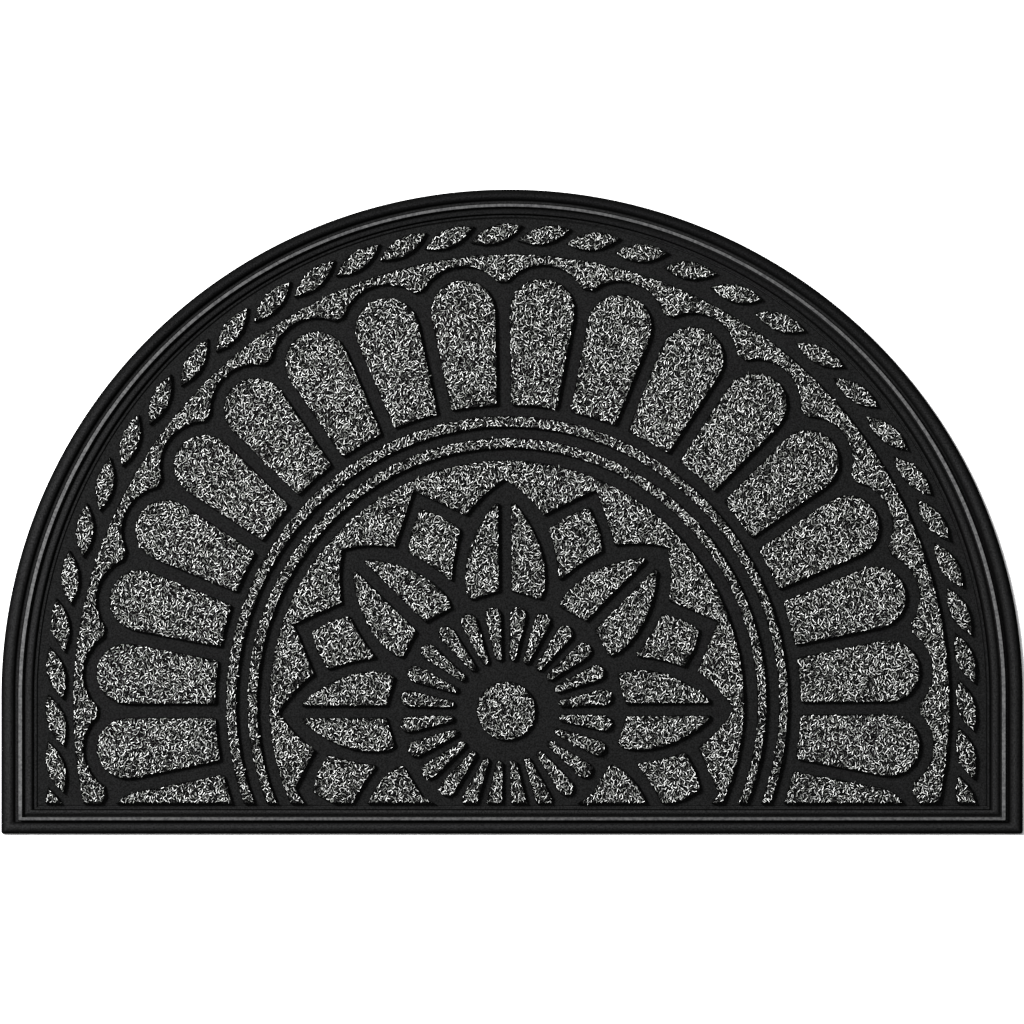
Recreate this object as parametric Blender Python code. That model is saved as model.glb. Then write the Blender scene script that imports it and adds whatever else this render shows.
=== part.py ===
"""Half-round doormat: a moulded rubber mat with raised panels of short pile in a half medallion.

Metres, +Z up. The origin is the middle of the underside of the mat's box. +X runs along the straight
front edge and +Y runs from that edge towards the crown of the arch.
"""

import math
from collections import namedtuple

import bmesh
import bpy

COLLECTION_NAME = "half_round_doormat"

# The mat's outline: straight front edge, short straight sides, half-round back
MAT_WIDTH = 0.9144
MAT_DEPTH = 0.5768
# The arch is half an oval whose crown leans a little to the left
ARCH_MIDDLE_Y = -0.1649
ARCH_REACH = MAT_DEPTH / 2 - ARCH_MIDDLE_Y
ARCH_LEAN = 0.0029
ARCH_STEPS = 60
CORNER_STEPS = 2

# Heights above the floor: the flat field, the panels that sit just clear of it, the chamfer of their upper
# edge, and the low root strips that join small panels under their pile
FIELD_TOP = 0.0030
SEAT_GAP = 0.0003
PILE_BOTTOM = FIELD_TOP + SEAT_GAP
PILE_TOP = 0.0070
PILE_EDGE = 0.0008
ROOT_BOTTOM = 0.0034
ROOT_TOP = 0.0041
ROOT_WIDTH = 0.0030

# The moulded border from the underside inwards. Each row is one line of the section: how far it lies in
# from the mat's edge at the sides, at the crown and along the front, its height, and its corner radius.
BorderLine = namedtuple("BorderLine", "side crown front height corner")
BORDER = (
    BorderLine(0.0000, 0.0000, 0.0000, 0.0000, 0.0020),
    BorderLine(0.0000, 0.0000, 0.0000, 0.0013, 0.0020),
    BorderLine(0.0011, 0.0009, 0.0010, 0.0028, 0.0019),
    BorderLine(0.0032, 0.0026, 0.0029, 0.0042, 0.0018),
    BorderLine(0.0075, 0.0059, 0.0068, 0.0052, 0.0015),
    BorderLine(0.0113, 0.0090, 0.0101, 0.0045, 0.0012),
    BorderLine(0.0156, 0.0128, 0.0122, 0.0018, 0.0010),
    BorderLine(0.0158, 0.0130, 0.0124, 0.0062, 0.0009),
    BorderLine(0.0189, 0.0155, 0.0150, 0.0062, 0.0008),
    BorderLine(0.0191, 0.0157, 0.0152, 0.0018, 0.0008),
    BorderLine(0.0207, 0.0172, 0.0168, 0.0030, 0.0008),
    BorderLine(0.0245, 0.0204, 0.0199, 0.0042, 0.0007),
    BorderLine(0.0276, 0.0220, 0.0215, 0.0037, 0.0006),
    BorderLine(0.0295, 0.0228, 0.0220, 0.0020, 0.0006),
    BorderLine(0.0301, 0.0232, 0.0221, 0.0036, 0.0006),
    BorderLine(0.0319, 0.0249, 0.0239, 0.0036, 0.0006),
    BorderLine(0.0322, 0.0253, 0.0244, 0.0024, 0.0006),
    BorderLine(0.0330, 0.0263, 0.0254, FIELD_TOP, 0.0006),
)

# How the steps of a row open and close along its way: how many times round, how far, and where
Drift = namedtuple("Drift", "waves swing lag")

# The panels stop short of the border along one straight line
FOOT_Y = -0.2612

# Rings of the medallion: the middle, half the width and half the height of each oval
Oval = namedtuple("Oval", "x y half_width half_height")
LEAF_CHAIN = Oval(-0.0010, -0.1601, 0.4071, 0.4087)
BAND_OUTSIDE = Oval(-0.0007, -0.1725, 0.3925, 0.4032)
ARCH_TIPS = Oval(-0.0035, -0.1776, 0.3702, 0.3880)
ARCH_BASES = Oval(-0.0036, -0.1721, 0.2615, 0.2672)
OUTER_RING_OUTSIDE = Oval(-0.0044, -0.1710, 0.2518, 0.2570)
OUTER_RING_INSIDE = Oval(-0.0038, -0.1716, 0.2427, 0.2473)
INNER_RING_OUTSIDE = Oval(-0.0045, -0.1711, 0.2326, 0.2376)
INNER_RING_INSIDE = Oval(-0.0041, -0.1721, 0.2236, 0.2289)
FLOWER_FIELD_OUTSIDE = Oval(-0.0049, -0.1712, 0.2127, 0.2175)
RING_STEPS = 44
# Outlines that the foot line trims start this far below it
BELOW_FOOT = math.radians(4.0)

# Leaves: pointed ovals laid slantwise along the border like the strands of a rope
LEAF_COUNT = 35
LEAF_PITCH = math.radians(6.196)
LEAF_MIDDLE_ANGLE = math.radians(91.0)
LEAF_LENGTH = 0.0494
LEAF_WIDTH = 0.0170
LEAF_SLANT = math.radians(16.5)
LEAF_SIDE_STEPS = 5
# The chain's steps open and close a little along its way
LEAF_DRIFTS = (
    Drift(2, math.radians(0.48), math.radians(17.0)),
    Drift(4, math.radians(0.65), math.radians(-49.0)),
)

# Arch petals and the scalloped band that runs round their heads. The row opens and closes a little, the
# dividers are wider towards the left, and the band's points between the heads are blunt.
ARCH_COUNT = 20
ARCH_PITCH = math.radians(11.25)
ARCH_TURN = math.radians(0.5)
ARCH_DRIFTS = (
    Drift(1, math.radians(0.10), math.radians(-90.0)),
    Drift(2, math.radians(0.34), math.radians(34.0)),
)
ARCH_DIVIDER = 0.0116
ARCH_DIVIDER_LEAN = 0.0007
ARCH_CHANNEL = 0.0114
SCALLOP_CUT = 0.0053
ARCH_HEAD_STEPS = 9
SCALLOP_STEPS = 7
ArchHead = namedtuple("ArchHead", "angle middle radius divider")

# The flower: eight petals, each in two halves, a kite between each two, a daisy and a disc
FLOWER_X = -0.0053
FLOWER_Y = -0.1781
FLOWER_TURN = math.radians(0.38)
PETAL_PITCH = math.tau / 8
FULL_PETALS = range(0, 5)
FOOT_PETALS = (-1, 5)
KITES = range(-1, 5)
PETAL_TIPS = Oval(FLOWER_X, FLOWER_Y, 0.1824, 0.1858)
PETAL_BASE = 0.1070
PETAL_HEEL = 0.0991
PETAL_HEEL_ACROSS = 0.0316
PETAL_BELLY = 0.1188
PETAL_BELLY_ACROSS = 0.0362
PETAL_SPLIT = 0.0104
PETAL_TIP_WIDTH = 0.0040
PETAL_SIDE_STEPS = 7
KITE_TIPS = Oval(FLOWER_X, FLOWER_Y, 0.1866, 0.1994)
KITE_BASE = 0.1254
KITE_SHOULDERS = Oval(FLOWER_X, FLOWER_Y, 0.1618, 0.1663)
KITE_HALF_WIDTH = 0.0264
KITE_HOLLOW = 0.0012
KITE_SWELL = 0.0020
KITE_SIDE_STEPS = 3
KITE_SWELL_STEPS = 2
STAR_PETAL_TIPS = Oval(FLOWER_X, FLOWER_Y, 0.2032, 0.2066)
STAR_KITE_TIPS = Oval(FLOWER_X, FLOWER_Y, 0.2034, 0.2149)
STAR_VALLEYS = Oval(FLOWER_X, FLOWER_Y, 0.1743, 0.1781)
STAR_BULGE = 0.0023
STAR_STEPS = 4
# The star's points in half pitches, from left to right. Beside them stands a last point at each foot, below
# which the edge turns in again and meets the foot line.
STAR_POINTS = range(8, -1, -1)
STAR_LEFT_FOOT = ((-0.1847, FOOT_Y), (-0.1936, -0.2475))
STAR_RIGHT_FOOT = ((0.1845, -0.2520), (0.1785, FOOT_Y))
PANEL_CORNER = 0.0022

SPOKE_COUNT = 24
SPOKE_TIPS = Oval(FLOWER_X, FLOWER_Y, 0.0961, 0.0941)
SPOKE_LENGTH = 0.0476
SPOKE_OUTSIDE_WIDTH = 0.0152
SPOKE_INSIDE_WIDTH = 0.0064
SPOKE_POINT = 0.0021
SPOKE_HEAD_STEPS = 4
SPOKE_ROOT_RADIUS = 0.0555
SPOKE_ROOT_STEPS = 48
DISC_RADIUS = 0.0266
DISC_STEPS = 28

# Points closer than this are one point, and a face this upright lies on a panel's top
WELD_DISTANCE = 0.00001
TOP_FACE_UPRIGHT = 0.5

RUBBER_COLOUR = (0.014, 0.014, 0.015, 1.0)
RUBBER_ROUGHNESS = 0.6
PILE_COLOUR = (0.075, 0.075, 0.073, 1.0)
PILE_ROUGHNESS = 0.95


def clear_scene():
    for thing in list(bpy.data.objects):
        bpy.data.objects.remove(thing)


def make_collection(name):
    collection = bpy.data.collections.new(name)
    bpy.context.scene.collection.children.link(collection)
    return collection


def make_material(name, colour, roughness):
    material = bpy.data.materials.new(name)
    material.use_nodes = True
    shader = material.node_tree.nodes["Principled BSDF"]
    shader.inputs["Base Color"].default_value = colour
    shader.inputs["Roughness"].default_value = roughness
    shader.inputs["Metallic"].default_value = 0.0
    return material


def oval_reach(oval, angle):
    """How far the oval lies from its own middle in a direction."""
    return 1.0 / math.hypot(math.cos(angle) / oval.half_width, math.sin(angle) / oval.half_height)


def oval_point(oval, angle):
    """The point where a ray from the oval's middle meets it."""
    reach = oval_reach(oval, angle)
    return (oval.x + reach * math.cos(angle), oval.y + reach * math.sin(angle))


def foot_angle(oval):
    """The direction, below the level of the oval's middle, in which its right side meets the foot line."""
    down = FOOT_Y - oval.y
    across = oval.half_width * math.sqrt(1.0 - (down / oval.half_height) ** 2)
    return math.atan2(down, across)


def oval_arc(oval, start, end, steps):
    return [oval_point(oval, start + (end - start) * i / steps) for i in range(steps + 1)]


def turned(along, across, angle, middle):
    """A point given along and across a ray, placed in the mat's plan."""
    cosine, sine = math.cos(angle), math.sin(angle)
    return (middle[0] + along * cosine - across * sine, middle[1] + along * sine + across * cosine)


def ray_meets_oval(start, angle, oval):
    """Where a ray from inside the oval leaves it."""
    step_x, step_y = math.cos(angle) / oval.half_width, math.sin(angle) / oval.half_height
    from_x, from_y = (start[0] - oval.x) / oval.half_width, (start[1] - oval.y) / oval.half_height
    square = step_x**2 + step_y**2
    half_linear = step_x * from_x + step_y * from_y
    rest = from_x**2 + from_y**2 - 1.0
    distance = (-half_linear + math.sqrt(half_linear**2 - square * rest)) / square
    return (start[0] + distance * math.cos(angle), start[1] + distance * math.sin(angle))


def softened(before, corner, after, size):
    """Three points that round a corner off: the ends and the middle of a curve drawn towards it."""
    into = min(1.0, size / math.dist(corner, before))
    out = min(1.0, size / math.dist(corner, after))
    first = tuple(c + (b - c) * into for c, b in zip(corner, before))
    last = tuple(c + (a - c) * out for c, a in zip(corner, after))
    middle = tuple((f + 2 * c + l) / 4 for f, c, l in zip(first, corner, last))
    return [first, middle, last]


def bulged(start, end, rise, steps):
    """A shallow curve from start to end, bowed to the left of its way; the end itself is left off."""
    across_x, across_y = start[1] - end[1], end[0] - start[0]
    length = math.hypot(across_x, across_y)
    points = []
    for i in range(steps):
        way = i / steps
        bow = rise * 4 * way * (1 - way) / length
        points.append((
            start[0] + (end[0] - start[0]) * way + across_x * bow,
            start[1] + (end[1] - start[1]) * way + across_y * bow,
        ))
    return points


def cut_behind(outline, line_y):
    """The part of an outline that lies behind a line across the mat."""
    kept = []
    for here, following in zip(outline, outline[1:] + outline[:1]):
        if here[1] >= line_y:
            kept.append(here)
        if (here[1] >= line_y) != (following[1] >= line_y):
            way = (line_y - here[1]) / (following[1] - here[1])
            kept.append((here[0] + (following[0] - here[0]) * way, line_y))
    return kept


def drifted(angle, drifts):
    """An angle of an even row, moved to where the uneven row has it."""
    from_crown = angle - math.pi / 2
    return angle + sum(drift.swing * math.cos(drift.waves * from_crown - drift.lag) for drift in drifts)


def leaf_angles():
    """Where the leaves lie on their chain, from the right foot round to the left."""
    return [LEAF_MIDDLE_ANGLE + (k - (LEAF_COUNT - 1) / 2) * LEAF_PITCH for k in range(LEAF_COUNT)]


def chain_place(nominal):
    """The point of the leaf chain at a nominal angle, and the way the chain runs there."""
    angle = drifted(nominal, LEAF_DRIFTS)
    x = LEAF_CHAIN.x + LEAF_CHAIN.half_width * math.cos(angle)
    y = LEAF_CHAIN.y + LEAF_CHAIN.half_height * math.sin(angle)
    heading = angle + math.pi / 2
    if y < LEAF_CHAIN.y:
        side = math.copysign(1.0, math.cos(angle))
        x = LEAF_CHAIN.x + side * LEAF_CHAIN.half_width
        heading = side * math.pi / 2
    return (x, y), heading


def leaf_outline(nominal):
    """A pointed oval: a shallow curve out and the same curve back."""
    middle, heading = chain_place(nominal)
    outline = []
    for side in (1, -1):
        for i in range(LEAF_SIDE_STEPS):
            way = i / LEAF_SIDE_STEPS
            along = side * LEAF_LENGTH * (way - 0.5)
            across = -side * LEAF_WIDTH / 2 * (1 - (2 * way - 1) ** 2)
            outline.append(turned(along, across, heading + LEAF_SLANT, middle))
    return outline


def chain_root():
    """The low strip under the leaves, stopping just short of the foot line."""
    outside, inside = [], []
    for nominal in leaf_angles():
        middle, heading = chain_place(nominal)
        outside.append(turned(0.0, -ROOT_WIDTH / 2, heading, middle))
        inside.append(turned(0.0, ROOT_WIDTH / 2, heading, middle))
    return cut_behind(outside + inside[::-1], FOOT_Y + ROOT_WIDTH / 2)


def arch_heads():
    """The round head of every arch petal, from the right foot round to the left."""
    half_angle = ARCH_PITCH / 2
    heads = []
    for k in range(ARCH_COUNT):
        even = math.pi / 2 + ARCH_TURN + (k - (ARCH_COUNT - 1) / 2) * ARCH_PITCH
        angle = drifted(even, ARCH_DRIFTS)
        divider = ARCH_DIVIDER - ARCH_DIVIDER_LEAN * math.cos(angle)
        reach = oval_reach(ARCH_TIPS, angle)
        distance = (reach + divider / 2) / (1 + math.sin(half_angle))
        radius = distance * math.sin(half_angle) - divider / 2
        heads.append(ArchHead(angle, turned(distance, 0.0, angle, ARCH_TIPS[:2]), radius, divider))
    return heads


def arch_outline(head):
    """One arch petal: a round head, straight sides along its two dividers and a curved base."""
    half_angle = ARCH_PITCH / 2
    outline = []
    for i in range(ARCH_HEAD_STEPS + 1):
        swing = (2 * i / ARCH_HEAD_STEPS - 1) * (math.pi / 2 + half_angle)
        outline.append(turned(head.radius, 0.0, head.angle + swing, head.middle))
    corners = []
    for side in (1, -1):
        edge = head.angle + side * half_angle
        start = turned(0.0, -side * head.divider / 2, edge, ARCH_TIPS[:2])
        corners.append(ray_meets_oval(start, edge, ARCH_BASES))
    base_middle = ray_meets_oval(ARCH_TIPS[:2], head.angle, ARCH_BASES)
    outline += softened(outline[-1], corners[0], base_middle, PANEL_CORNER)
    outline.append(base_middle)
    outline += softened(base_middle, corners[1], outline[0], PANEL_CORNER)
    return cut_behind(outline, FOOT_Y)


def circles_cross(first, first_radius, second, second_radius):
    """The crossing of two circles that lies left of the way from the first middle to the second."""
    apart = math.dist(first, second)
    along = (apart**2 + first_radius**2 - second_radius**2) / (2 * apart)
    across = math.sqrt(first_radius**2 - along**2)
    way = math.atan2(second[1] - first[1], second[0] - first[0])
    return turned(along, across, way, first)


def direction(start, end):
    return math.atan2(end[1] - start[1], end[0] - start[0])


def scallop_outline():
    """The band whose inner edge runs round the heads of the arches, with a point between each two."""
    heads = arch_heads()[::-1]
    cusps = [
        circles_cross(
            left.middle, left.radius + ARCH_CHANNEL, right.middle, right.radius + ARCH_CHANNEL
        )
        for left, right in zip(heads, heads[1:])
    ]
    start = foot_angle(BAND_OUTSIDE) - BELOW_FOOT
    outline = oval_arc(BAND_OUTSIDE, start, math.pi - start, RING_STEPS)
    for k, head in enumerate(heads):
        cut = SCALLOP_CUT / head.radius
        swing_start, swing_end = math.pi / 2, -math.pi / 2
        if k > 0:
            swing_start = direction(head.middle, cusps[k - 1]) - head.angle - cut
        if k < len(cusps):
            swing_end = direction(head.middle, cusps[k]) - head.angle + cut
        swing_start = (swing_start + math.pi) % math.tau - math.pi
        swing_end = (swing_end + math.pi) % math.tau - math.pi
        for i in range(SCALLOP_STEPS + 1):
            swing = swing_start + (swing_end - swing_start) * i / SCALLOP_STEPS
            outline.append(turned(head.radius + ARCH_CHANNEL, 0.0, head.angle + swing, head.middle))
    return cut_behind(outline, FOOT_Y)


def ring_outline(outside, inside):
    """A narrow half ring from foot to foot."""
    outer_start, inner_start = foot_angle(outside), foot_angle(inside)
    outer = oval_arc(outside, outer_start, math.pi - outer_start, RING_STEPS)
    inner = oval_arc(inside, inner_start, math.pi - inner_start, RING_STEPS)
    return outer + inner[::-1]


def flower_field_outline():
    """The ground round the flower: a half ring whose inner edge is a star, pointed at petals and kites."""
    points, rises = [], []
    for k in STAR_POINTS:
        angle = k * PETAL_PITCH / 2 + FLOWER_TURN
        at_petal = k % 2 == 0
        points.append(oval_point(STAR_VALLEYS, angle + PETAL_PITCH / 4))
        points.append(oval_point(STAR_PETAL_TIPS if at_petal else STAR_KITE_TIPS, angle))
        rises += [STAR_BULGE if at_petal else 0.0] * 2
    last_valley = STAR_POINTS[-1] * PETAL_PITCH / 2 + FLOWER_TURN - PETAL_PITCH / 4
    points.append(oval_point(STAR_VALLEYS, last_valley))
    start = foot_angle(FLOWER_FIELD_OUTSIDE)
    outline = oval_arc(FLOWER_FIELD_OUTSIDE, start, math.pi - start, RING_STEPS)
    outline += STAR_LEFT_FOOT
    for here, following, rise in zip(points, points[1:], rises):
        outline += bulged(here, following, rise, STAR_STEPS)
    outline.append(points[-1])
    outline += STAR_RIGHT_FOOT
    return outline


def petal_side(k, split):
    """One half of a petal as distances along and across its middle line, from heel to tip."""
    tip = oval_reach(PETAL_TIPS, k * PETAL_PITCH + FLOWER_TURN)
    tip_across = split / 2 + PETAL_TIP_WIDTH
    plan = []
    for i in range(PETAL_SIDE_STEPS + 1):
        along = PETAL_BASE + (tip - PETAL_BASE) * i / PETAL_SIDE_STEPS
        bow = 1 - ((along - PETAL_BELLY) / (tip - PETAL_BELLY)) ** 2
        plan.append((along, tip_across + (PETAL_BELLY_ACROSS - tip_across) * bow))
    foot = (PETAL_BASE, split / 2)
    heel = (PETAL_HEEL, PETAL_HEEL_ACROSS)
    return [foot] + softened(foot, heel, plan[0], PANEL_CORNER) + plan + [(tip, split / 2)]


def place_petal(k, plan):
    angle = k * PETAL_PITCH + FLOWER_TURN
    outline = [turned(along, across, angle, (FLOWER_X, FLOWER_Y)) for along, across in plan]
    return cut_behind(outline, FOOT_Y)


def half_petal_outline(k, side):
    """A half petal: straight along the split, with a bowed outer side and a slanting heel."""
    return place_petal(k, [(along, side * across) for along, across in petal_side(k, PETAL_SPLIT)])


def foot_petal_outline(k):
    """A petal that the foot line cuts through, whole and without a split."""
    plan = petal_side(k, 0.0)
    other_side = [(along, -across) for along, across in plan[-2:0:-1]]
    return place_petal(k, plan + other_side)


def kite_outline(k):
    """The four-cornered panel between two petals: hollow towards them, swelling a little outwards."""
    angle = (k + 0.5) * PETAL_PITCH + FLOWER_TURN
    middle = (FLOWER_X, FLOWER_Y)
    tip = turned(oval_reach(KITE_TIPS, angle), 0.0, angle, middle)
    base = turned(KITE_BASE, 0.0, angle, middle)
    shoulder = oval_reach(KITE_SHOULDERS, angle)
    left = turned(shoulder, KITE_HALF_WIDTH, angle, middle)
    right = turned(shoulder, -KITE_HALF_WIDTH, angle, middle)
    outline = softened(right, tip, left, PANEL_CORNER)
    outline += bulged(tip, left, -KITE_SWELL, KITE_SWELL_STEPS)[1:]
    outline += softened(tip, left, base, PANEL_CORNER)
    outline += bulged(left, base, KITE_HOLLOW, KITE_SIDE_STEPS)[1:]
    outline += softened(left, base, right, PANEL_CORNER)
    outline += bulged(base, right, KITE_HOLLOW, KITE_SIDE_STEPS)[1:]
    outline += softened(base, right, tip, PANEL_CORNER)
    outline += bulged(right, tip, -KITE_SWELL, KITE_SWELL_STEPS)[1:]
    return cut_behind(outline, FOOT_Y)


def spoke_outline(k):
    """One ray of the daisy: a round outer end, sides that draw in towards the disc, and a blunt point."""
    angle = (k + 0.5) * math.tau / SPOKE_COUNT + FLOWER_TURN
    middle = (FLOWER_X, FLOWER_Y)
    head_radius = SPOKE_OUTSIDE_WIDTH / 2
    tip = oval_reach(SPOKE_TIPS, angle)
    tail = tip - SPOKE_LENGTH
    head = turned(tip - head_radius, 0.0, angle, middle)
    outline = [turned(tail, -SPOKE_INSIDE_WIDTH / 2, angle, middle)]
    for i in range(SPOKE_HEAD_STEPS + 1):
        swing = math.pi * (i / SPOKE_HEAD_STEPS - 0.5)
        outline.append(turned(head_radius, 0.0, angle + swing, head))
    outline.append(turned(tail, SPOKE_INSIDE_WIDTH / 2, angle, middle))
    outline.append(turned(tail - SPOKE_POINT, 0.0, angle, middle))
    return cut_behind(outline, FOOT_Y)


def circle(radius, steps):
    middle = (FLOWER_X, FLOWER_Y)
    return [turned(radius, 0.0, math.tau * i / steps, middle) for i in range(steps)]


def border_loop(line):
    """One line of the border's section, run round the mat anticlockwise from the front right corner."""
    half_width = MAT_WIDTH / 2 - line.side
    crown_reach = ARCH_REACH - line.crown
    front = -MAT_DEPTH / 2 + line.front
    corners = []
    for side, start in ((1, -math.pi / 2), (-1, math.pi)):
        middle = (side * (half_width - line.corner), front + line.corner)
        corners.append([
            turned(line.corner, 0.0, start + math.pi / 2 * i / CORNER_STEPS, middle)
            for i in range(CORNER_STEPS + 1)
        ])
    arch = []
    for i in range(ARCH_STEPS + 1):
        angle = math.pi * i / ARCH_STEPS
        rise = math.sin(angle)
        arch.append((half_width * math.cos(angle) - ARCH_LEAN * rise**2, ARCH_MIDDLE_Y + crown_reach * rise))
    return corners[0] + arch + corners[1]


def place_mesh(name, mesh, collection, material):
    mesh.name = name
    mesh.materials.clear()
    mesh.materials.append(material)
    piece = bpy.data.objects.new(name, mesh)
    collection.objects.link(piece)
    return piece


def build_rubber_base(collection, material):
    """The moulded mat: its border lofted line by line, closed by the underside and the flat field."""
    shape = bmesh.new()
    loops = []
    for line in BORDER:
        loops.append([shape.verts.new((x, y, line.height)) for x, y in border_loop(line)])
    for lower, upper in zip(loops, loops[1:]):
        for i in range(len(lower)):
            j = (i + 1) % len(lower)
            shape.faces.new((lower[i], lower[j], upper[j], upper[i]))
    shape.faces.new(reversed(loops[0]))
    shape.faces.new(loops[-1])
    mesh = bpy.data.meshes.new("rubber_base")
    shape.to_mesh(mesh)
    shape.free()
    return place_mesh("rubber_base", mesh, collection, material)


def prism(name, outlines, bottom, top):
    """A flat piece between two heights: a filled curve made into a closed mesh."""
    curve = bpy.data.curves.new(name, "CURVE")
    curve.dimensions = "2D"
    curve.fill_mode = "BOTH"
    curve.extrude = (top - bottom) / 2
    for outline in outlines:
        spline = curve.splines.new("POLY")
        spline.points.add(len(outline) - 1)
        for point, (x, y) in zip(spline.points, outline):
            point.co = (x, y, 0.0, 1.0)
        spline.use_cyclic_u = True
    holder = bpy.data.objects.new(name, curve)
    bpy.context.scene.collection.objects.link(holder)
    evaluated = holder.evaluated_get(bpy.context.evaluated_depsgraph_get())
    mesh = bpy.data.meshes.new_from_object(evaluated)
    bpy.data.objects.remove(holder)
    bpy.data.curves.remove(curve)
    shape = bmesh.new()
    shape.from_mesh(mesh)
    bmesh.ops.remove_doubles(shape, verts=shape.verts, dist=WELD_DISTANCE)
    bmesh.ops.translate(shape, verts=shape.verts, vec=(0.0, 0.0, (top + bottom) / 2))
    bmesh.ops.recalc_face_normals(shape, faces=shape.faces)
    shape.to_mesh(mesh)
    shape.free()
    return mesh


def build_panel(name, outline, collection, material):
    """A raised panel of pile whose upper edge is chamfered."""
    mesh = prism(name, [outline], PILE_BOTTOM, PILE_TOP - PILE_EDGE)
    shape = bmesh.new()
    shape.from_mesh(mesh)
    upper_faces = [face for face in shape.faces if face.normal.z > TOP_FACE_UPRIGHT]
    bmesh.ops.inset_region(
        shape, faces=upper_faces, thickness=PILE_EDGE, depth=PILE_EDGE, use_even_offset=True
    )
    shape.to_mesh(mesh)
    shape.free()
    return place_mesh(name, mesh, collection, material)


def build_rooted_panels(name, outlines, root_outlines, collection, material):
    """Many small panels joined to one low root strip as one closed body."""
    panels = place_mesh(name, prism(name, outlines, PILE_BOTTOM, PILE_TOP), collection, material)
    root_mesh = prism("root_strip", root_outlines, ROOT_BOTTOM, ROOT_TOP)
    root = place_mesh("root_strip", root_mesh, collection, material)
    union = panels.modifiers.new("join the root strip", "BOOLEAN")
    union.operation = "UNION"
    union.solver = "EXACT"
    union.object = root
    evaluated = panels.evaluated_get(bpy.context.evaluated_depsgraph_get())
    joined = bpy.data.meshes.new_from_object(evaluated)
    bpy.data.objects.remove(panels)
    bpy.data.objects.remove(root)
    return place_mesh(name, joined, collection, material)


def build_leaf_border(collection, material):
    outlines = [cut_behind(leaf_outline(nominal), FOOT_Y) for nominal in leaf_angles()]
    build_rooted_panels("leaf_border", outlines, [chain_root()], collection, material)


def build_arches(collection, material):
    for k, head in enumerate(arch_heads(), start=1):
        build_panel(f"arch_petal_{k:02d}", arch_outline(head), collection, material)
    build_panel("scallop_band", scallop_outline(), collection, material)


def build_rings(collection, material):
    outer = ring_outline(OUTER_RING_OUTSIDE, OUTER_RING_INSIDE)
    inner = ring_outline(INNER_RING_OUTSIDE, INNER_RING_INSIDE)
    build_panel("outer_ring", outer, collection, material)
    build_panel("inner_ring", inner, collection, material)


def build_flower(collection, material):
    """The ground, the petal halves, the two petals at the foot and the kites."""
    build_panel("flower_field", flower_field_outline(), collection, material)
    halves = [half_petal_outline(k, side) for k in FULL_PETALS for side in (-1, 1)]
    foot_petals = [foot_petal_outline(k) for k in FOOT_PETALS]
    kites = [kite_outline(k) for k in KITES]
    families = (("petal_half", halves), ("foot_petal", foot_petals), ("petal_kite", kites))
    for family, outlines in families:
        for number, outline in enumerate(outlines, start=1):
            build_panel(f"{family}_{number:02d}", outline, collection, material)


def build_daisy(collection, material):
    outlines = [spoke_outline(k) for k in range(SPOKE_COUNT)]
    root = [
        circle(SPOKE_ROOT_RADIUS + ROOT_WIDTH / 2, SPOKE_ROOT_STEPS),
        circle(SPOKE_ROOT_RADIUS - ROOT_WIDTH / 2, SPOKE_ROOT_STEPS),
    ]
    build_rooted_panels("daisy_spokes", outlines, root, collection, material)
    build_panel("centre_disc", circle(DISC_RADIUS, DISC_STEPS), collection, material)


def main():
    clear_scene()
    collection = make_collection(COLLECTION_NAME)
    rubber = make_material("moulded_rubber", RUBBER_COLOUR, RUBBER_ROUGHNESS)
    pile = make_material("short_pile", PILE_COLOUR, PILE_ROUGHNESS)
    build_rubber_base(collection, rubber)
    build_leaf_border(collection, pile)
    build_arches(collection, pile)
    build_rings(collection, pile)
    build_flower(collection, pile)
    build_daisy(collection, pile)


main()
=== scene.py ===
"""Looks of the half-round doormat: moulded black rubber with panels of short grey and black pile.

Metres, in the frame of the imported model: +X along the straight front edge, +Y towards the crown, +Z up.
"""

import math
from collections import namedtuple

import bmesh
import bpy
import numpy as np
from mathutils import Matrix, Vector, noise


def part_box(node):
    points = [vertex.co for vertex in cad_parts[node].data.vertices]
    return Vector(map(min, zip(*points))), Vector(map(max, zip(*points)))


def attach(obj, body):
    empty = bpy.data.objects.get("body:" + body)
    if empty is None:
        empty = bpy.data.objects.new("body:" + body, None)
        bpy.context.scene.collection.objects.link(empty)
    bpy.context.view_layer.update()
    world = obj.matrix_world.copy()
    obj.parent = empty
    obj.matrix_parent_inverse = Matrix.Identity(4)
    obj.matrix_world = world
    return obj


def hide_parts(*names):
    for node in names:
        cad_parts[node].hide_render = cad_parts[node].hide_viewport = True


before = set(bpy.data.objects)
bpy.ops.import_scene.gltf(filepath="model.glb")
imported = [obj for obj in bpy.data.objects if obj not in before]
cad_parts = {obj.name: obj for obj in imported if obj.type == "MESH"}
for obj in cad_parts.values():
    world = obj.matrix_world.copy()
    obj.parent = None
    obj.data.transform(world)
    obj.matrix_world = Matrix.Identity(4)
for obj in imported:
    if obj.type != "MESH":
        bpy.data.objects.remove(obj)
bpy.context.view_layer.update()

# The mat's outline. Its size comes from its base solid, and its arch is half an oval whose crown leans a
# little to the left.
BASE_NODE = "rubber_base"
BASE_LOW, BASE_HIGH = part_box(BASE_NODE)
MAT_WIDTH = BASE_HIGH[0] - BASE_LOW[0]
ARCH_MIDDLE_Y = -0.1649
ARCH_REACH = BASE_HIGH[1] - ARCH_MIDDLE_Y
ARCH_LEAN = 0.0029
ARCH_STEPS = 180
CORNER_STEPS = 6

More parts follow.
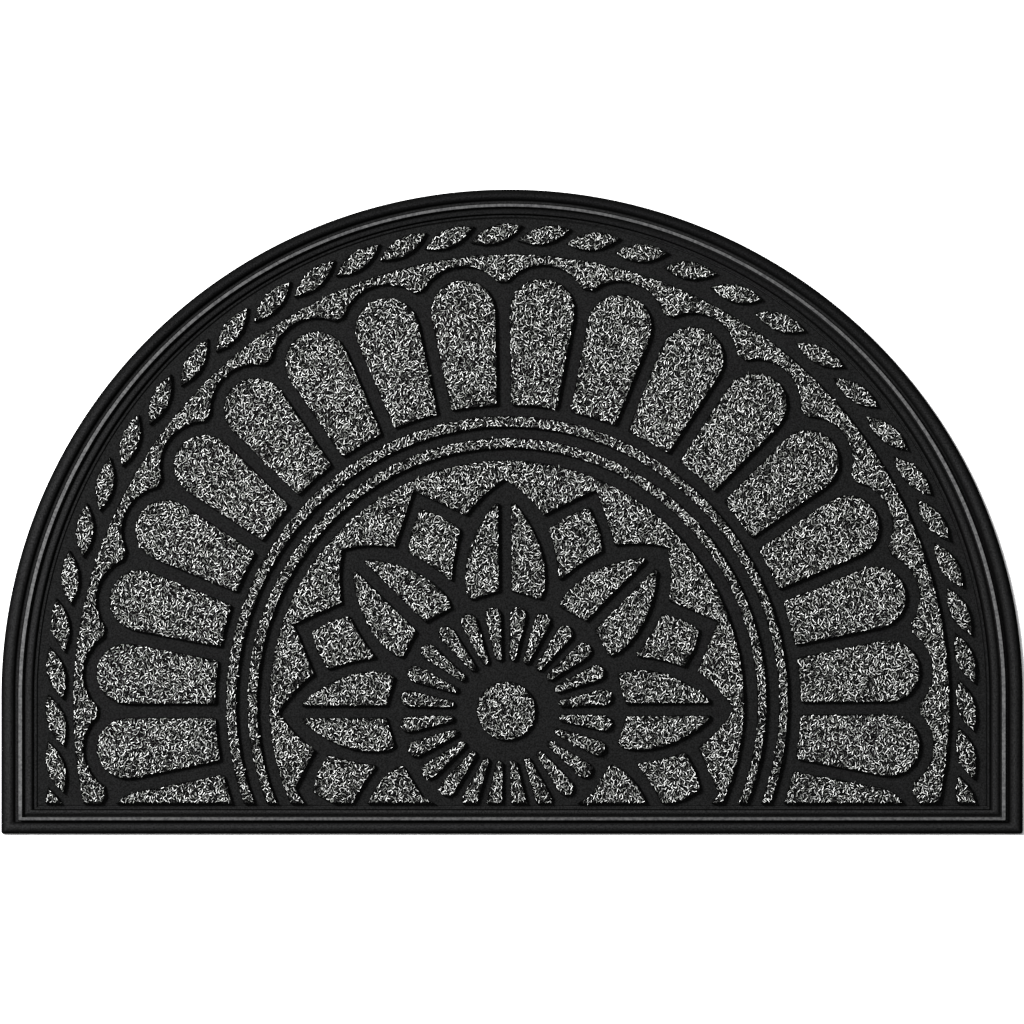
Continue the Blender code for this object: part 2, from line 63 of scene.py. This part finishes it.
# The border's section from the underside inwards. Each row is one line of it: how far it lies in from the
# mat's edge at the sides, at the crown and along the front, its height, its corner radius, and whether it
# stays a sharp line. The others are corners that get rounded off.
FIELD_TOP = 0.0030
BorderLine = namedtuple("BorderLine", "side crown front height corner sharp")
BORDER = (
    BorderLine(0.0003, 0.0003, 0.0003, 0.0000, 0.0020, True),
    BorderLine(0.0000, 0.0000, 0.0000, 0.0004, 0.0020, True),
    BorderLine(0.0000, 0.0000, 0.0000, 0.0013, 0.0020, True),
    BorderLine(0.0011, 0.0009, 0.0010, 0.0028, 0.0019, False),
    BorderLine(0.0034, 0.0027, 0.0031, 0.0044, 0.0018, False),
    BorderLine(0.0074, 0.0057, 0.0067, 0.0055, 0.0015, False),
    BorderLine(0.0110, 0.0088, 0.0098, 0.0042, 0.0012, False),
    BorderLine(0.0126, 0.0102, 0.0107, 0.0026, 0.0011, False),
    BorderLine(0.0153, 0.0125, 0.0119, 0.0023, 0.0010, False),
    BorderLine(0.0156, 0.0128, 0.0122, 0.0018, 0.0010, True),
    BorderLine(0.0158, 0.0130, 0.0124, 0.0059, 0.0009, True),
    BorderLine(0.0159, 0.0131, 0.0125, 0.0062, 0.0009, True),
    BorderLine(0.0188, 0.0154, 0.0149, 0.0062, 0.0008, True),
    BorderLine(0.0189, 0.0155, 0.0150, 0.0059, 0.0008, True),
    BorderLine(0.0191, 0.0157, 0.0152, 0.0026, 0.0008, True),
    BorderLine(0.0204, 0.0168, 0.0164, 0.0030, 0.0008, False),
    BorderLine(0.0228, 0.0190, 0.0187, 0.0041, 0.0007, False),
    BorderLine(0.0264, 0.0217, 0.0211, 0.0043, 0.0006, False),
    BorderLine(0.0284, 0.0224, 0.0217, 0.0034, 0.0006, False),
    BorderLine(0.0295, 0.0228, 0.0220, 0.0020, 0.0006, True),
    BorderLine(0.0300, 0.0231, 0.0221, 0.0020, 0.0006, True),
    BorderLine(0.0302, 0.0233, 0.0222, 0.0036, 0.0006, True),
    BorderLine(0.0318, 0.0248, 0.0238, 0.0036, 0.0006, True),
    BorderLine(0.0320, 0.0250, 0.0240, 0.0024, 0.0006, True),
    BorderLine(0.0325, 0.0257, 0.0249, 0.0024, 0.0006, True),
    BorderLine(0.0330, 0.0263, 0.0254, FIELD_TOP, 0.0006, True),
)
SMOOTHING_ROUNDS = 2
# How far along to the next line a soft corner is cut each round
CORNER_CUT = 0.25
# The worn top of the ridge: every face of the border at least this high
WORN_ABOVE = 0.0056

# The pile: a dark backing under loose fibres
PILE_BOTTOM = 0.0033
BACKING_TOP = 0.0059
BACKING_EDGE = 0.0003
BACKING_STEP = 0.0055
BACKING_ROUNDS = 5
BACKING_LUMP = 0.0004
BACKING_LUMP_SIZE = 0.0050
FIBRE_PITCH = 0.0023
FIBRE_JITTER = 0.33
# Most fibres lie slantwise, somewhat more of them one way than the other
FIBRE_HEADINGS = (math.radians(50.0), math.radians(128.0))
FIBRE_HEADING_SHARE = 0.53
FIBRE_HEADING_SPREAD = math.radians(42.0)
FIBRE_LENGTH = (0.0020, 0.0031)
FIBRE_RADIUS = (0.00020, 0.00026)
FIBRE_HEIGHT = (0.0060, 0.0067)
FIBRE_TILT = math.radians(11.0)
# Fibres lie lower near a panel's rim, and keep inside it by a margin, apart from a few strays
RIM_DROP = 0.0005
RIM_REACH = 0.0010
RIM_MARGIN = 0.0006
STRAY_SHARE = 0.03
STRAY_REACH = 0.0025
# A fibre that reaches out is turned and shortened this many times, then left out
REPLACING_ROUNDS = 6
SHORTENING = 0.9
# Fibres that stand against a panel's sides
SIDE_PITCH = 0.0026
SIDE_INSET = 0.0008
SIDE_HEIGHT = (0.0046, 0.0056)
SIDE_LENGTH = (0.0022, 0.0030)
SIDE_LEAN = math.radians(32.0)
SIDE_TURN = 0.5
# A fibre that rises by more than this share of its length counts as standing
STANDING_RISE = 0.8
SEED = 20
# How near a point's height has to be to count as level, and how many steps a metre has in the grid on which
# equal points are found
LEVEL_TOLERANCE = 0.00005
GRID_STEPS = 1e6

# Fibre tones: how pale, and what share it has of the pale set and of the dark set that lies between it
Tone = namedtuple("Tone", "name colour pale_share dark_share")
TONES = (
    Tone("fibre_white", (0.78, 0.79, 0.77, 1.0), 0.50, 0.00),
    Tone("fibre_silver", (0.26, 0.27, 0.25, 1.0), 0.26, 0.03),
    Tone("fibre_grey", (0.05, 0.05, 0.048, 1.0), 0.16, 0.07),
    Tone("fibre_charcoal", (0.0015, 0.0015, 0.0015, 1.0), 0.08, 0.90),
)

# Noise patterns between a dark and a pale colour: up to the low value of the noise all is dark, and from the
# high value on all is pale
Mottle = namedtuple("Mottle", "scale detail dark pale low high")
FIELD_GRAIN = Mottle(760.0, 3.0, (0.0030, 0.0030, 0.0030), (0.0094, 0.0095, 0.0096), 0.34, 0.68)
# Painted fill light: the valleys' rubber is paler, lifting the shade that the ridge casts over them
VALLEY_GRAIN_AND_FILL_LIGHT = Mottle(760.0, 3.0, (0.0060, 0.0060, 0.0061), (0.0170, 0.0170, 0.0172), 0.34, 0.68)
# Painted highlight: the raised beads are paler than the field, standing in for an overhead light's
# reflection on their tops
BEAD_GRAIN_AND_HIGHLIGHT = Mottle(760.0, 3.0, (0.0052, 0.0052, 0.0053), (0.0176, 0.0176, 0.0179), 0.34, 0.68)
# The beads at the crown are darker: their painted highlight is weaker there
CROWN_GRAIN_DIM_HIGHLIGHT = Mottle(760.0, 3.0, (0.0022, 0.0022, 0.0023), (0.0088, 0.0088, 0.0090), 0.34, 0.68)
SIDE_WEAR = Mottle(420.0, 3.0, (0.038, 0.038, 0.039), (0.086, 0.086, 0.086), 0.34, 0.66)
CROWN_WEAR = Mottle(420.0, 3.0, (0.028, 0.028, 0.029), (0.066, 0.066, 0.066), 0.34, 0.66)
FRONT_WEAR = Mottle(420.0, 3.0, (0.026, 0.026, 0.027), (0.060, 0.060, 0.060), 0.34, 0.66)
PILE_FLUFF = Mottle(620.0, 4.0, (0.0002, 0.0002, 0.0002), (0.0040, 0.0040, 0.0040), 0.42, 0.75)
# Painted shade: sloping rubber turns near black, as an overhead light's reflection falls off it
SLOPE_SHADE_COLOUR = (0.0011, 0.0011, 0.0011)
SLOPE_SHADE_FALLOFF = 10.0
# Where one colour fades into another: heights, then places from the front to the crown. The valleys' painted
# fill light, the beads' painted highlight and its weakening at the crown fade in here
VALLEY_FILL_LIGHT_FADE = (0.0026, 0.0029)
BEAD_HIGHLIGHT_FADE = (0.0032, 0.0044)
CROWN_DIM_HIGHLIGHT_FADE = (-0.02, 0.22)
CROWN_WEAR_FADE = (0.00, 0.20)
FRONT_WEAR_FADE = (-0.272, -0.262)

# The floor lies just under the mat
FLOOR_SIZE = 40.0
FLOOR_HEIGHT = -0.0004
FLOOR_COLOUR = (0.93, 0.93, 0.93, 1.0)
SURROUND_STRENGTH = 0.52

# The photograph's frame: the mat is 1021.5 of its 1024 pixels wide and lies slightly above its middle
VIEW_WIDTH = 0.9163
VIEW_Y = -0.0003
LENS = 250.0
SENSOR = 36.0


def noise_colour(tree, mottle):
    """A noise pattern turned into a colour between its dark and its pale one."""
    nodes, links = tree.nodes, tree.links
    place = nodes.new("ShaderNodeTexCoord")
    pattern = nodes.new("ShaderNodeTexNoise")
    pattern.inputs["Scale"].default_value = mottle.scale
    pattern.inputs["Detail"].default_value = mottle.detail
    ramp = nodes.new("ShaderNodeValToRGB")
    ramp.color_ramp.elements[0].position = mottle.low
    ramp.color_ramp.elements[0].color = (*mottle.dark, 1.0)
    ramp.color_ramp.elements[1].position = mottle.high
    ramp.color_ramp.elements[1].color = (*mottle.pale, 1.0)
    links.new(place.outputs["Object"], pattern.inputs["Vector"])
    links.new(pattern.outputs["Fac"], ramp.inputs["Fac"])
    return ramp.outputs["Color"]


def noise_value(tree, scale, detail, low, high):
    """A noise pattern turned into a number between low and high."""
    nodes, links = tree.nodes, tree.links
    place = nodes.new("ShaderNodeTexCoord")
    pattern = nodes.new("ShaderNodeTexNoise")
    pattern.inputs["Scale"].default_value = scale
    pattern.inputs["Detail"].default_value = detail
    spread = nodes.new("ShaderNodeMapRange")
    spread.inputs["To Min"].default_value = low
    spread.inputs["To Max"].default_value = high
    links.new(place.outputs["Object"], pattern.inputs["Vector"])
    links.new(pattern.outputs["Fac"], spread.inputs["Value"])
    return spread.outputs["Result"]


def painted_slope_shade(tree, colour):
    """The colour on faces that look straight up, turning quickly into a near-black painted shade colour
    where they slope away.
    """
    nodes, links = tree.nodes, tree.links
    surface = nodes.new("ShaderNodeNewGeometry")
    parts = nodes.new("ShaderNodeSeparateXYZ")
    power = nodes.new("ShaderNodeMath")
    power.operation = "POWER"
    power.use_clamp = True
    power.inputs[1].default_value = SLOPE_SHADE_FALLOFF
    level = nodes.new("ShaderNodeMath")
    level.operation = "MAXIMUM"
    level.inputs[1].default_value = 0.0
    mix = nodes.new("ShaderNodeMix")
    mix.data_type = "RGBA"
    links.new(surface.outputs["Normal"], parts.inputs["Vector"])
    links.new(parts.outputs["Z"], level.inputs[0])
    links.new(level.outputs["Value"], power.inputs[0])
    links.new(power.outputs["Value"], mix.inputs["Factor"])
    mix.inputs["A"].default_value = (*SLOPE_SHADE_COLOUR, 1.0)
    links.new(colour, mix.inputs["B"])
    return mix.outputs["Result"]


def add_bump(tree, shader, height, strength, distance):
    bump = tree.nodes.new("ShaderNodeBump")
    bump.inputs["Strength"].default_value = strength
    bump.inputs["Distance"].default_value = distance
    tree.links.new(height, bump.inputs["Height"])
    tree.links.new(bump.outputs["Normal"], shader.inputs["Normal"])


def new_material(name):
    material = bpy.data.materials.new(name)
    material.use_nodes = True
    tree = material.node_tree
    return material, tree, tree.nodes["Principled BSDF"]


def along(tree, axis, first, second, fade):
    """One colour up to a place along an axis, fading into another beyond it."""
    nodes, links = tree.nodes, tree.links
    place = nodes.new("ShaderNodeTexCoord")
    parts = nodes.new("ShaderNodeSeparateXYZ")
    spread = nodes.new("ShaderNodeMapRange")
    spread.interpolation_type = "SMOOTHSTEP"
    spread.inputs["From Min"].default_value = fade[0]
    spread.inputs["From Max"].default_value = fade[1]
    mix = nodes.new("ShaderNodeMix")
    mix.data_type = "RGBA"
    links.new(place.outputs["Object"], parts.inputs["Vector"])
    links.new(parts.outputs[axis], spread.inputs["Value"])
    links.new(spread.outputs["Result"], mix.inputs["Factor"])
    links.new(first, mix.inputs["A"])
    links.new(second, mix.inputs["B"])
    return mix.outputs["Result"]


def rubber_grain_and_painted_light(tree):
    """The rubber's fine grain: dark on the field, paler in the valleys as painted fill light, and paler on
    the beads as a painted highlight, except at the crown.
    """
    field = noise_colour(tree, FIELD_GRAIN)
    valley_fill_light = noise_colour(tree, VALLEY_GRAIN_AND_FILL_LIGHT)
    bead_highlight, crown = noise_colour(tree, BEAD_GRAIN_AND_HIGHLIGHT), noise_colour(tree, CROWN_GRAIN_DIM_HIGHLIGHT)
    beads = along(tree, "Y", bead_highlight, crown, CROWN_DIM_HIGHLIGHT_FADE)
    raised = along(tree, "Z", field, beads, BEAD_HIGHLIGHT_FADE)
    return along(tree, "Z", valley_fill_light, raised, VALLEY_FILL_LIGHT_FADE)


def rubber_material():
    """Black moulded rubber: a fine grain, a painted highlight making the beads a little paler, painted shade
    making slopes near black.
    """
    material, tree, shader = new_material("moulded_rubber")
    tree.links.new(painted_slope_shade(tree, rubber_grain_and_painted_light(tree)), shader.inputs["Base Color"])
    roughness = noise_value(tree, scale=160.0, detail=2.0, low=0.74, high=0.90)
    tree.links.new(roughness, shader.inputs["Roughness"])
    shader.inputs["Specular IOR Level"].default_value = 0.01
    height = noise_value(tree, scale=900.0, detail=2.0, low=0.0, high=1.0)
    add_bump(tree, shader, height, strength=0.35, distance=0.0003)
    return material


def worn_material():
    """The ridge's top, rubbed pale, most of all at the sides."""
    material, tree, shader = new_material("worn_ridge")
    sides, crown = noise_colour(tree, SIDE_WEAR), noise_colour(tree, CROWN_WEAR)
    arch = along(tree, "Y", sides, crown, CROWN_WEAR_FADE)
    wear = along(tree, "Y", noise_colour(tree, FRONT_WEAR), arch, FRONT_WEAR_FADE)
    tree.links.new(wear, shader.inputs["Base Color"])
    roughness = noise_value(tree, scale=200.0, detail=2.0, low=0.55, high=0.75)
    tree.links.new(roughness, shader.inputs["Roughness"])
    shader.inputs["Specular IOR Level"].default_value = 0.1
    height = noise_value(tree, scale=900.0, detail=2.0, low=0.0, high=1.0)
    add_bump(tree, shader, height, strength=0.3, distance=0.0003)
    return material


def backing_material():
    """The dark depth of the pile under its loose fibres."""
    material, tree, shader = new_material("pile_depth")
    tree.links.new(noise_colour(tree, PILE_FLUFF), shader.inputs["Base Color"])
    shader.inputs["Roughness"].default_value = 0.95
    shader.inputs["Specular IOR Level"].default_value = 0.02
    height = noise_value(tree, scale=500.0, detail=4.0, low=0.0, high=1.0)
    add_bump(tree, shader, height, strength=0.8, distance=0.0008)
    return material


def fibre_material(tone):
    material, _, shader = new_material(tone.name)
    shader.inputs["Base Color"].default_value = tone.colour
    shader.inputs["Roughness"].default_value = 0.62
    shader.inputs["Specular IOR Level"].default_value = 0.25
    return material


def new_piece(name, mesh, materials):
    """A piece of the mat, at the frame's origin."""
    piece = bpy.data.objects.new(name, mesh)
    bpy.context.scene.collection.objects.link(piece)
    for material in materials:
        mesh.materials.append(material)
    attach(piece, "root")
    return piece


def towards(row, other):
    """A soft line of the section, a cut's length from one line towards the next."""
    sizes = [size + (goal - size) * CORNER_CUT for size, goal in zip(row[:-1], other[:-1])]
    return BorderLine(*sizes, False)


def rounded_section():
    """The border's section with its soft corners cut again and again; the sharp lines stay."""
    rows = list(BORDER)
    for _ in range(SMOOTHING_ROUNDS):
        cut = [rows[0]]
        for before, row, after in zip(rows, rows[1:], rows[2:]):
            cut += [row] if row.sharp else [towards(row, before), towards(row, after)]
        rows = cut + [rows[-1]]
    return rows


def border_loop(line):
    """One line of the section, run round the mat anticlockwise from the front right corner."""
    half_width = MAT_WIDTH / 2 - line.side
    crown_reach = ARCH_REACH - line.crown
    front = BASE_LOW[1] + line.front
    corners = []
    for side, start in ((1, -math.pi / 2), (-1, math.pi)):
        middle_x, middle_y = side * (half_width - line.corner), front + line.corner
        for i in range(CORNER_STEPS + 1):
            angle = start + math.pi / 2 * i / CORNER_STEPS
            x = middle_x + line.corner * math.cos(angle)
            y = middle_y + line.corner * math.sin(angle)
            corners.append((x, y))
    arch = []
    for i in range(ARCH_STEPS + 1):
        angle = math.pi * i / ARCH_STEPS
        rise = math.sin(angle)
        x = half_width * math.cos(angle) - ARCH_LEAN * rise**2
        arch.append((x, ARCH_MIDDLE_Y + crown_reach * rise))
    return corners[: CORNER_STEPS + 1] + arch + corners[CORNER_STEPS + 1 :]


def make_rubber_mat():
    """The whole rubber mat: its border lofted line by line, closed by the underside and the flat field."""
    shape = bmesh.new()
    lines = rounded_section()
    loops = [[shape.verts.new((x, y, line.height)) for x, y in border_loop(line)] for line in lines]
    for k, (lower, upper) in enumerate(zip(loops, loops[1:])):
        for i in range(len(lower)):
            j = (i + 1) % len(lower)
            face = shape.faces.new((lower[i], lower[j], upper[j], upper[i]))
            face.smooth = not (lines[k].sharp and lines[k + 1].sharp)
            face.material_index = int(face.calc_center_median().z > WORN_ABOVE)
    shape.faces.new(reversed(loops[0]))
    shape.faces.new(loops[-1])
    mesh = bpy.data.meshes.new("rubber_mat")
    shape.to_mesh(mesh)
    shape.free()
    piece = new_piece("rubber_mat", mesh, (rubber_material(), worn_material()))
    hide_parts(BASE_NODE)
    return piece


def floor_faces(node):
    """The triangles of a panel's underside in plan: its full outline, filled."""
    mesh = node.data
    mesh.calc_loop_triangles()
    points = np.array([vertex.co for vertex in mesh.vertices])
    corners = points[np.array([triangle.vertices for triangle in mesh.loop_triangles])]
    low = corners[:, :, 2].max(axis=1) < PILE_BOTTOM + LEVEL_TOLERANCE
    return corners[low][:, :, :2]


def grid_key(point):
    """A point's place on a fine grid, so that equal points have equal keys."""
    return tuple(np.round(point * GRID_STEPS).astype(int))


def panel_rim(triangles):
    """The straight runs of a panel's outline: the sides that only one triangle has."""
    sides = {}
    for triangle in triangles:
        for i in range(3):
            j = (i + 1) % 3
            ends = (grid_key(triangle[i]), grid_key(triangle[j]))
            if (ends[1], ends[0]) in sides:
                del sides[(ends[1], ends[0])]
            else:
                sides[ends] = (triangle[i], triangle[j])
    return np.array(list(sides.values()))


def depth_inside(points, rim):
    """How far each point lies inside the outline, less than nothing for those outside."""
    start, end = rim[:, 0], rim[:, 1]
    run = end - start
    away = points[:, None, :] - start[None, :, :]
    share = np.clip((away * run).sum(axis=2) / (run * run).sum(axis=1), 0.0, 1.0)
    nearest = np.linalg.norm(away - share[:, :, None] * run, axis=2).min(axis=1)
    above = (start[None, :, 1] > points[:, None, 1]) != (end[None, :, 1] > points[:, None, 1])
    climb = np.where(run[:, 1] == 0.0, 1.0, run[:, 1])
    crossing = start[:, 0] + (points[:, None, 1] - start[:, 1]) / climb * run[:, 0]
    inside = (above & (points[:, None, 0] < crossing)).sum(axis=1) % 2 == 1
    return np.where(inside, nearest, -nearest)


def scattered(triangles, rim, shift, rng):
    """Points strewn evenly over a panel: a grid in steps, each point moved a little at random."""
    low, high = triangles.min(axis=(0, 1)), triangles.max(axis=(0, 1))
    columns = np.arange(low[0] - FIBRE_PITCH, high[0] + FIBRE_PITCH, FIBRE_PITCH)
    rows = np.arange(low[1] - FIBRE_PITCH, high[1] + FIBRE_PITCH, FIBRE_PITCH)
    x, y = np.meshgrid(columns, rows)
    x[1::2] += FIBRE_PITCH / 2
    points = np.stack((x.ravel() + shift * FIBRE_PITCH, y.ravel()), axis=1)
    points += rng.uniform(-FIBRE_JITTER, FIBRE_JITTER, points.shape) * FIBRE_PITCH
    return points[depth_inside(points, rim) > 0.0]


def strand_ends(middle, heading, tilt, length):
    """The two ends of each fibre, which lies straight through its middle."""
    level = np.cos(tilt)
    way = np.stack((level * np.cos(heading), level * np.sin(heading), np.sin(tilt)), axis=1)
    half = way * length[:, None] / 2
    return np.stack((middle - half, middle + half), axis=1)


def headings(count, rng):
    """Which way each of so many fibres lies."""
    first, second = FIBRE_HEADINGS
    middle = np.where(rng.uniform(0.0, 1.0, count) < FIBRE_HEADING_SHARE, first, second)
    return middle + rng.uniform(-FIBRE_HEADING_SPREAD, FIBRE_HEADING_SPREAD, count)


def end_depths(strands, rim):
    """How deep inside the outline the shallower end of each fibre lies."""
    return depth_inside(strands[:, :, :2].reshape(-1, 2), rim).reshape(-1, 2).min(axis=1)


def top_fibres(triangles, rim, rng, shift):
    """The ends of one set of fibres on a panel's top. All but a few strays keep inside its outline."""
    points = scattered(triangles, rim, shift, rng)
    count = len(points)
    length = rng.uniform(*FIBRE_LENGTH, count)
    tilt = rng.uniform(-FIBRE_TILT, FIBRE_TILT, count)
    heading = headings(count, rng)
    height = rng.uniform(*FIBRE_HEIGHT, count)
    depth = depth_inside(points, rim)
    height -= RIM_DROP * np.exp(-depth / RIM_REACH)
    middle = np.column_stack((points, height))
    stray = rng.uniform(0.0, 1.0, count) < STRAY_SHARE
    least = np.where(stray, -STRAY_REACH, RIM_MARGIN)
    strands = strand_ends(middle, heading, tilt, length)
    for _ in range(REPLACING_ROUNDS):
        out = end_depths(strands, rim) < least
        heading = np.where(out, headings(count, rng), heading)
        length = np.where(out, length * SHORTENING, length)
        strands = strand_ends(middle, heading, tilt, length)
    return strands[end_depths(strands, rim) >= least]


def side_fibres(rim, rng):
    """The ends of the fibres that stand against a panel's sides."""
    run = rim[:, 1] - rim[:, 0]
    reach = np.linalg.norm(run, axis=1)
    count = int(reach.sum() / SIDE_PITCH)
    chosen = rng.choice(len(rim), count, p=reach / reach.sum())
    points = rim[chosen, 0] + run[chosen] * rng.uniform(0.0, 1.0, (count, 1))
    inward = np.column_stack((-run[chosen, 1], run[chosen, 0])) / reach[chosen, None]
    inward *= np.sign(depth_inside(points + inward * SIDE_INSET, rim))[:, None]
    points += inward * SIDE_INSET
    height = rng.uniform(*SIDE_HEIGHT, count)
    heading = np.arctan2(run[chosen, 1], run[chosen, 0]) + rng.uniform(-SIDE_TURN, SIDE_TURN, count)
    tilt = math.pi / 2 + rng.uniform(-SIDE_LEAN, SIDE_LEAN, count)
    length = rng.uniform(*SIDE_LENGTH, count)
    return strand_ends(np.column_stack((points, height)), heading, tilt, length)


def fibre_mesh(name, strands, tones, rng):
    """Each fibre as a closed three-sided strand, cut straight at both ends."""
    count = len(strands)
    run = strands[:, 1] - strands[:, 0]
    run /= np.linalg.norm(run, axis=1, keepdims=True)
    upright = np.where(np.abs(run[:, 2:]) > STANDING_RISE, (1.0, 0.0, 0.0), (0.0, 0.0, 1.0))
    side = np.cross(run, upright)
    side /= np.linalg.norm(side, axis=1, keepdims=True)
    rise = np.cross(side, run)
    radius = rng.uniform(*FIBRE_RADIUS, count)
    roll = rng.uniform(0.0, math.tau, count)
    points = np.empty((count, 6, 3))
    for corner in range(3):
        angle = roll + math.tau * corner / 3
        spread = side * np.cos(angle)[:, None] + rise * np.sin(angle)[:, None]
        points[:, corner] = strands[:, 0] + spread * radius[:, None]
        points[:, 3 + corner] = strands[:, 1] + spread * radius[:, None]
    strand = [(0, 1, 2), (5, 4, 3)]
    for i in range(3):
        j = (i + 1) % 3
        strand += [(i, 3 + j, j), (i, 3 + i, 3 + j)]
    faces = np.array(strand)[None] + 6 * np.arange(count)[:, None, None]
    mesh = bpy.data.meshes.new(name)
    mesh.from_pydata(points.reshape(-1, 3).tolist(), [], faces.reshape(-1, 3).tolist())
    mesh.polygons.foreach_set("material_index", np.repeat(tones, len(strand)).astype(np.int32))
    return mesh


def make_fibres(name, rim, triangles, materials, number):
    """All the fibres of one panel as one piece."""
    rng = np.random.default_rng(SEED + number)
    pale = top_fibres(triangles, rim, rng, shift=0.0)
    dark = np.concatenate((top_fibres(triangles, rim, rng, shift=0.5), side_fibres(rim, rng)))
    tones = np.concatenate((
        rng.choice(len(TONES), len(pale), p=[tone.pale_share for tone in TONES]),
        rng.choice(len(TONES), len(dark), p=[tone.dark_share for tone in TONES]),
    ))
    mesh = fibre_mesh(f"{name}_fibres", np.concatenate((pale, dark)), tones, rng)
    piece = new_piece(f"{name}_fibres", mesh, materials)
    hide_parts(name)
    return piece


def add_backing(shape, triangles):
    """One panel's dark core: its outline raised, its upper edge chamfered."""
    corners = {}
    for point in triangles.reshape(-1, 2):
        if grid_key(point) not in corners:
            corners[grid_key(point)] = shape.verts.new((point[0], point[1], FIELD_TOP))
    floor = []
    for triangle in triangles:
        floor.append(shape.faces.new([corners[grid_key(point)] for point in triangle]))
    raised = bmesh.ops.extrude_face_region(shape, geom=floor)["geom"]
    top_points = [part for part in raised if isinstance(part, bmesh.types.BMVert)]
    top_faces = [part for part in raised if isinstance(part, bmesh.types.BMFace)]
    lift = BACKING_TOP - BACKING_EDGE - FIELD_TOP
    bmesh.ops.translate(shape, verts=top_points, vec=(0.0, 0.0, lift))
    bmesh.ops.recalc_face_normals(shape, faces=shape.faces)
    bmesh.ops.inset_region(
        shape, faces=top_faces, thickness=BACKING_EDGE, depth=BACKING_EDGE, use_even_offset=True
    )


def make_backing(panels):
    """The dark cores of all the panels as one piece with a lumpy top."""
    shape = bmesh.new()
    for triangles in panels:
        add_backing(shape, triangles)
    level = BACKING_TOP - LEVEL_TOLERANCE
    for _ in range(BACKING_ROUNDS):
        long = [
            edge for edge in shape.edges
            if edge.calc_length() > BACKING_STEP and all(point.co.z > level for point in edge.verts)
        ]
        bmesh.ops.subdivide_edges(shape, edges=long, cuts=1)
        bmesh.ops.triangulate(shape, faces=[face for face in shape.faces if len(face.verts) > 3])
    for point in shape.verts:
        if point.co.z > FIELD_TOP + BACKING_LUMP:
            point.co.z += BACKING_LUMP * noise.noise(point.co / BACKING_LUMP_SIZE)
    mesh = bpy.data.meshes.new("pile_backing")
    shape.to_mesh(mesh)
    shape.free()
    piece = new_piece("pile_backing", mesh, (backing_material(),))
    return piece


def make_pile():
    """Every panel's fibres, and the backing under them all."""
    materials = [fibre_material(tone) for tone in TONES]
    names = sorted(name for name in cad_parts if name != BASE_NODE)
    panels = [floor_faces(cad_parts[name]) for name in names]
    fibres = [
        make_fibres(name, panel_rim(triangles), triangles, materials, number)
        for number, (name, triangles) in enumerate(zip(names, panels))
    ]
    return [make_backing(panels)] + fibres


def make_floor():
    bpy.ops.mesh.primitive_plane_add(size=FLOOR_SIZE, location=(0.0, 0.0, FLOOR_HEIGHT))
    floor = bpy.context.object
    floor.name = "floor"
    material, _, shader = new_material("pale_floor")
    shader.inputs["Base Color"].default_value = FLOOR_COLOUR
    shader.inputs["Roughness"].default_value = 0.9
    shader.inputs["Specular IOR Level"].default_value = 0.0
    floor.data.materials.append(material)


def add_area_light(name, direction, distance, size, power):
    lamp = bpy.data.lights.new(name, "AREA")
    lamp.size = size
    lamp.energy = power
    holder = bpy.data.objects.new(name, lamp)
    bpy.context.scene.collection.objects.link(holder)
    way = Vector(direction).normalized()
    holder.location = way * distance
    holder.rotation_euler = way.to_track_quat("Z", "Y").to_euler()


def light_scene():
    """Soft studio light: an even white surround and a broad key from the upper left."""
    world = bpy.data.worlds.new("studio")
    world.use_nodes = True
    world.node_tree.nodes["Background"].inputs["Color"].default_value = (1.0, 1.0, 1.0, 1.0)
    world.node_tree.nodes["Background"].inputs["Strength"].default_value = SURROUND_STRENGTH
    bpy.context.scene.world = world
    add_area_light("key", direction=(-0.68, 0.45, 0.57), distance=6.0, size=1.7, power=1310.0)


def place_camera():
    """Straight above the mat, with the crown at the top of the picture."""
    data = bpy.data.cameras.new("camera")
    data.lens = LENS
    data.sensor_width = SENSOR
    camera = bpy.data.objects.new("camera", data)
    bpy.context.scene.collection.objects.link(camera)
    camera.location = (0.0, VIEW_Y, FIELD_TOP + VIEW_WIDTH * LENS / SENSOR)
    bpy.context.scene.camera = camera


rubber_mat = make_rubber_mat()
pile = make_pile()
make_floor()
light_scene()
place_camera()
bpy.context.scene.view_settings.view_transform = "Standard"
